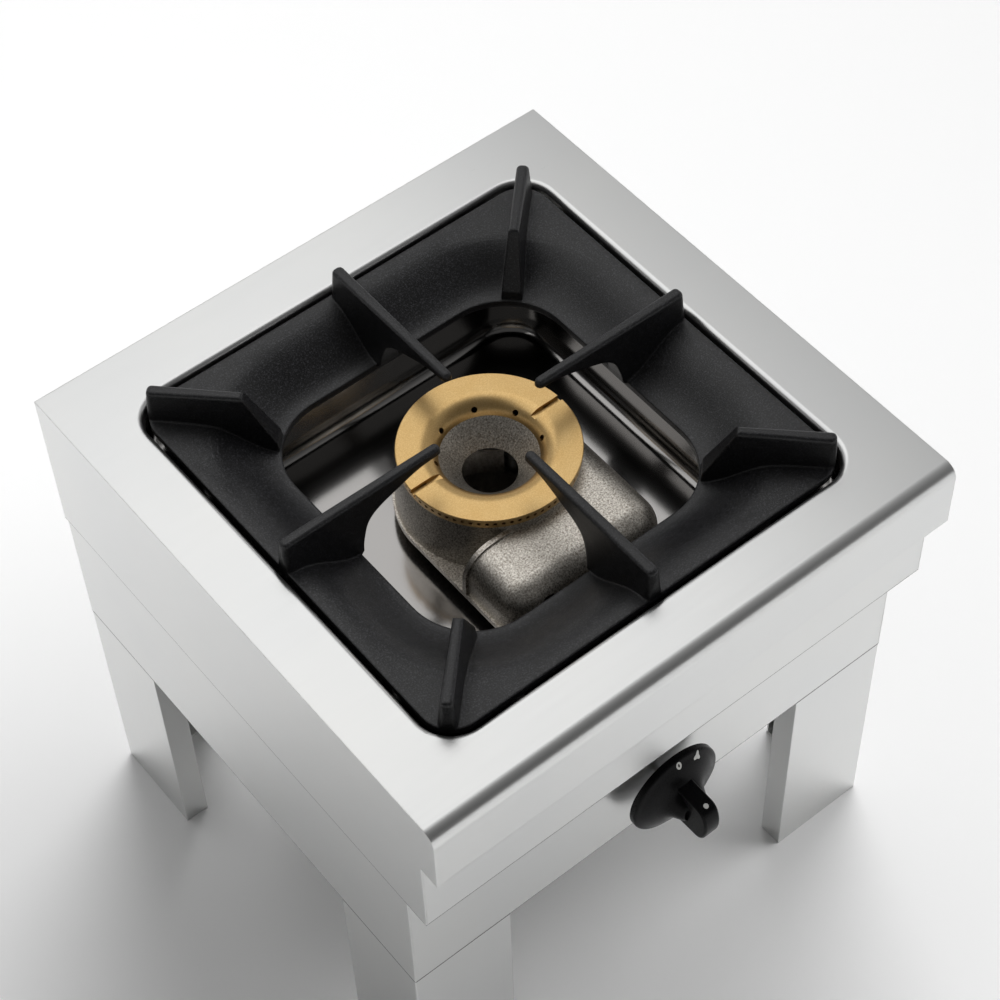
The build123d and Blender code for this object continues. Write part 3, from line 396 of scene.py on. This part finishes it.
# ---------------------------------------------------------------- the CAD nodes' finishes
class RANGE_OT_sheet_metal(bpy.types.Operator):
    """Brushed stainless on the worktop, panels and legs"""

    bl_idname = "range.sheet_metal"
    bl_label = "Sheet Metal"

    def execute(self, context):
        dress(satin_stainless("brushed stainless worktop", "X", basin=True), "worktop")
        dress(satin_stainless("brushed stainless front", "X"), *SHEETS_ALONG_X)
        dress(satin_stainless("brushed stainless sides", "Y"), *SHEETS_ALONG_Y)
        dress(satin_stainless("brushed stainless legs", "Z"), *LEGS)
        return {"FINISHED"}


class RANGE_OT_grate(bpy.types.Operator):
    """Enamelled cast grate"""

    bl_idname = "range.grate"
    bl_label = "Grate"

    def execute(self, context):
        dress(cast_enamel(), "grate")
        return {"FINISHED"}


class RANGE_OT_burner(bpy.types.Operator):
    """Brass crown on a bare casting"""

    bl_idname = "range.burner"
    bl_label = "Burner"

    def execute(self, context):
        dress(turned_brass(), "burner_crown")
        dress(sand_casting(), "burner_body")
        return {"FINISHED"}


class RANGE_OT_gas_train(bpy.types.Operator):
    """Tap, pipes, fittings and fixings"""

    bl_idname = "range.gas_train"
    bl_label = "Gas Train"

    def execute(self, context):
        for *finish, nodes in TRAIN_FINISHES:
            dress(plain_metal(*finish), *nodes)
        return {"FINISHED"}


# ---------------------------------------------------------------- the knob and its printed marks
KNOB_HIGH = (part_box("knob")[0][2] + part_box("knob")[1][2]) / 2
PANEL_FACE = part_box("knob_panel")[0][1]

# The rest is in millimetres: radius or height from the knob's axis, and distance out from the panel.
# The skirt's rim starts to round at this radius and distance, on this slope, and the others bend its curve
RIM_RADIUS = 32.0
RIM_OUT = 17.0
RIM_SLOPE = 0.37
RIM_ROUND = 0.02
SKIRT_BEND = 0.0575
SKIRT_TWIST = 0.00625

# The crest of the blade is an arc, seen from the side
CREST_OUT = 41.72
CREST_UP = 8.13
CREST_RADIUS = 8.1

# The ink's base lies inside the plastic, and its face stands out of it
SUNK = -0.1
PROUD = 0.06
MARK_RADIUS = 30.7
OFF_HOLE = (0.65, 1.3)
OFF_EDGE = (2.0, 2.5)
FLAME_CLOCK = 30.0
FLAME_BODY = 1.75
FLAME_TONGUE = 1.55
POINTER_OUT = 43.9
POINTER_RADIUS = 1.7

# A filled mark is a stack of loops, each a share of its outline at its own lift
FILLED = ((1.0, SUNK), (1.0, PROUD), (0.75, PROUD), (0.5, PROUD), (0.25, PROUD))
TURN = np.linspace(0, 2 * math.pi, 72, endpoint=False)
SINE = np.sin(TURN)
COSINE = np.cos(TURN)


def skirt_out(radius):
    """How far the skirt stands out at these radii, for radii from 27 to 34 mm.

    With s the radius less 32, it is 17 - 0.37 s + 0.0575 s^2 + 0.00625 s^3 on the skirt, where s is negative,
    and 17 - 0.37 s - 0.02 s^4 on the rounding of its rim. It goes through the CAD's own points, 19 mm out at
    a radius of 28 mm and 17 mm out at 32 mm, and keeps within 0.02 mm of the knob's mesh.
    """
    s = radius - RIM_RADIUS
    skirt = SKIRT_BEND * s**2 + SKIRT_TWIST * s**3
    rounding = -RIM_ROUND * s**4
    return RIM_OUT - RIM_SLOPE * s + np.where(s < 0, skirt, rounding)


def on_skirt(across, outward, clock, lift):
    """Points across and outward from a mark's middle on the skirt, at this angle clockwise from the top.

    The radius is the middle's plus outward, and the angle is the clock's plus across over the radius.
    """
    radius = MARK_RADIUS + outward
    angle = math.radians(clock) + across / radius
    x = radius * np.sin(angle) * MM
    y = PANEL_FACE - (skirt_out(radius) + lift) * MM
    z = KNOB_HIGH + radius * np.cos(angle) * MM
    return np.stack([x, y, z], axis=-1)


def on_crest(across, forward, lift):
    """Points across and forward from the pointer's middle on the crest of the blade.

    The height is that of the crest's centre plus the root of its radius squared less the distance squared.
    """
    out = POINTER_OUT + forward
    up = CREST_UP + np.sqrt(CREST_RADIUS**2 - (out - CREST_OUT)**2) + lift
    return np.stack([across * MM, PANEL_FACE - out * MM, KNOB_HIGH + up * MM], axis=-1)


def mark(name, loops, ink, ring=False):
    """A thin closed piece of ink through these loops of points, each point joined to its like on the next.

    The first and last loops are capped, or joined to each other in a ring. Faces point outwards where, seen
    from outside, the loops of a stack run anticlockwise, and those of a ring from its hole outwards clockwise.
    """
    count, size = len(loops), len(loops[0])
    start = np.arange(size)
    after = (start + 1) % size
    faces = []
    for i in range(count if ring else count - 1):
        low, high = i * size, (i + 1) % count * size
        faces += np.stack([low + start, low + after, high + after, high + start], axis=-1).tolist()
    if not ring:
        faces += [start[::-1].tolist(), ((count - 1) * size + start).tolist()]
    piece = new_mesh(name, np.concatenate(loops), faces, ink)
    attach(piece, "control")


def off_mark(ink):
    """The mark for off: a band between two ovals, given by half their width and half their height."""
    sections = ((OFF_HOLE, SUNK), (OFF_HOLE, PROUD), (OFF_EDGE, PROUD), (OFF_EDGE, SUNK))
    loops = [on_skirt(wide * SINE, high * COSINE, 0.0, lift) for (wide, high), lift in sections]
    mark("mark_off", loops, ink, ring=True)


def flame_mark(ink):
    """The mark for the flame: three tongues, 1.75 + 1.55 times the cube of |cos 1.5 t| from its middle.

    Its loops are turned round, so that they run anticlockwise.
    """
    reach = FLAME_BODY + FLAME_TONGUE * np.abs(np.cos(1.5 * TURN))**3
    across, outward = reach * SINE, reach * COSINE
    loops = [on_skirt(k * across, k * outward, FLAME_CLOCK, lift)[::-1] for k, lift in FILLED]
    mark("mark_flame", loops, ink)


def pointer_mark(ink):
    """The knob's pointer: a round dot."""
    across, forward = POINTER_RADIUS * SINE, POINTER_RADIUS * COSINE
    mark("mark_pointer", [on_crest(k * across, k * forward, lift) for k, lift in FILLED], ink)


class RANGE_OT_knob(bpy.types.Operator):
    """Moulded control knob with its printed marks: off, flame and pointer"""

    bl_idname = "range.knob"
    bl_label = "Knob"

    def execute(self, context):
        dress(moulded_plastic(), "knob")
        ink = pad_print()
        off_mark(ink)
        flame_mark(ink)
        pointer_mark(ink)
        return {"FINISHED"}


# ---------------------------------------------------------------- the studio
# The camera's place and two of its directions, fitted to points of the photograph
CAMERA_PLACE = Vector((-0.574713, -0.769830, 1.615953))
CAMERA_FORWARD = Vector((0.36417, 0.48211, -0.79684))
CAMERA_RIGHT = Vector((0.77884, -0.62679, -0.02328))
CAMERA_LENS = 90.636
CAMERA_SENSOR = 36

FLOOR_HALF = 30.0
SOFTBOX_PLACE = (-0.1, 0.78, 1.65)
SOFTBOX_SIZE = (1.9, 1.35)
BACK_WINDOW_WAY = (-0.7, -0.6, -1.1)
SIDE_WINDOW_WAY = (-0.9, 0.4, -1.0)
SIDE_WINDOW_SHARE = 0.8
WINDOW_ANGLE = 40
BRIGHT_WAY = (0.7, 0.7, 0)
HORIZON = 0.9


def studio_floor(colour):
    """A matt square floor at level 0, whose corners are half its width from the middle both ways."""
    material = bpy.data.materials.new("pale studio floor")
    tree = empty_tree(material)
    paint = add(tree, "ShaderNodeBsdfDiffuse", {"Color": linear(colour)})
    add(tree, "ShaderNodeOutputMaterial", {"Surface": paint})
    u, v = np.meshgrid((-1.0, 1.0), (-1.0, 1.0))
    corners = FLOOR_HALF * np.stack([u, v, 0 * u], axis=-1).reshape(-1, 3)
    new_mesh("studio_floor", corners, [(0, 1, 3, 2)], material)


def studio_room(dim, bright):
    """A room that is dim at the front left and brighter behind on the right.

    Its lower part is a pale horizon where the camera or a reflection sees it, and lights nothing as such.
    """
    world = bpy.data.worlds.new("studio")
    tree = empty_tree(world)
    way = add(tree, "ShaderNodeTexCoord").outputs["Generated"]
    side = add(tree, "ShaderNodeVectorMath", {0: way, 1: BRIGHT_WAY}, operation="DOT_PRODUCT")
    room = add(tree, "ShaderNodeMapRange", {
        "Value": side.outputs["Value"], "From Min": -0.2, "From Max": 0.6, "To Min": dim, "To Max": bright,
    })
    rise = add(tree, "ShaderNodeSeparateXYZ", {"Vector": way}).outputs["Z"]
    low = add(tree, "ShaderNodeMapRange", {
        "Value": rise, "From Min": 0.1, "From Max": 0.25, "To Min": 1.0, "To Max": 0.0,
    })
    path = add(tree, "ShaderNodeLightPath").outputs
    seen = add(tree, "ShaderNodeMath", {
        0: path["Is Camera Ray"], 1: path["Is Glossy Ray"],
    }, operation="MAXIMUM")
    horizon = add(tree, "ShaderNodeMath", {0: low, 1: seen}, operation="MULTIPLY")
    level = add(tree, "ShaderNodeMix", {0: horizon, 2: room, 3: HORIZON})
    shell = add(tree, "ShaderNodeBackground", {"Color": (1, 1, 1, 1), "Strength": level})
    add(tree, "ShaderNodeOutputWorld", {"Surface": shell})
    return world


def softbox(power):
    """A flat rectangular lamp overhead that faces straight down."""
    light = bpy.data.lights.new("softbox", "AREA")
    light.shape = "RECTANGLE"
    light.size, light.size_y = SOFTBOX_SIZE
    light.energy = power
    lamp = new_object("softbox", light)
    lamp.matrix_world = Matrix.Translation(SOFTBOX_PLACE)
    lamp.visible_camera = False


def window(name, way, strength):
    """Soft daylight that travels this way: it lights floor and enamel, and metal doesn't mirror it."""
    sun = bpy.data.lights.new(name, "SUN")
    sun.energy = strength
    sun.angle = math.radians(WINDOW_ANGLE)
    lamp = new_object(name, sun)
    lamp.matrix_world = Vector(way).to_track_quat("-Z", "Y").to_matrix().to_4x4()
    lamp.visible_glossy = False


def studio_camera():
    """The camera at the photograph's place and angle."""
    eye = bpy.data.cameras.new("camera")
    eye.lens = CAMERA_LENS
    eye.sensor_width = CAMERA_SENSOR
    camera = new_object("camera", eye)
    up = CAMERA_RIGHT.cross(CAMERA_FORWARD)
    turn = Matrix((CAMERA_RIGHT, up, -CAMERA_FORWARD)).transposed()
    camera.matrix_world = Matrix.Translation(CAMERA_PLACE) @ turn.to_4x4()
    return camera


class RANGE_OT_studio(bpy.types.Operator):
    """Floor, lights and camera"""

    bl_idname = "range.studio"
    bl_label = "Studio"

    def execute(self, context):
        scene = context.scene
        studio = scene.range_studio
        studio_floor(studio.floor)
        scene.world = studio_room(studio.gloom, studio.room)
        softbox(studio.softbox)
        window("back window", BACK_WINDOW_WAY, studio.window)
        window("side window", SIDE_WINDOW_WAY, studio.window * SIDE_WINDOW_SHARE)
        scene.camera = studio_camera()
        scene.view_settings.view_transform = "Standard"
        return {"FINISHED"}


# ---------------------------------------------------------------- the add-on
class RANGE_PT_panel(bpy.types.Panel):
    """The range's pieces in the sidebar"""

    bl_idname = "RANGE_PT_panel"
    bl_label = "Stock Pot Range"
    bl_space_type = "VIEW_3D"
    bl_region_type = "UI"
    bl_category = "Range"

    def draw(self, context):
        for operator in OPERATORS:
            self.layout.operator(operator.bl_idname)


OPERATORS = (
    RANGE_OT_sheet_metal, RANGE_OT_grate, RANGE_OT_burner,
    RANGE_OT_gas_train, RANGE_OT_knob, RANGE_OT_studio,
)
CLASSES = (RangeFinish, RangeStudio, *OPERATORS, RANGE_PT_panel)


def register():
    for entry in CLASSES:
        bpy.utils.register_class(entry)
    bpy.types.Scene.range_finish = bpy.props.PointerProperty(type=RangeFinish)
    bpy.types.Scene.range_studio = bpy.props.PointerProperty(type=RangeStudio)


def unregister():
    del bpy.types.Scene.range_studio
    del bpy.types.Scene.range_finish
    for entry in reversed(CLASSES):
        bpy.utils.unregister_class(entry)


def main():
    """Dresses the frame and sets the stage."""
    register()
    bpy.ops.range.sheet_metal()
    bpy.ops.range.grate()
    bpy.ops.range.burner()
    bpy.ops.range.gas_train()
    bpy.ops.range.knob()
    bpy.ops.range.studio()


if __name__ == "__main__":
    main()
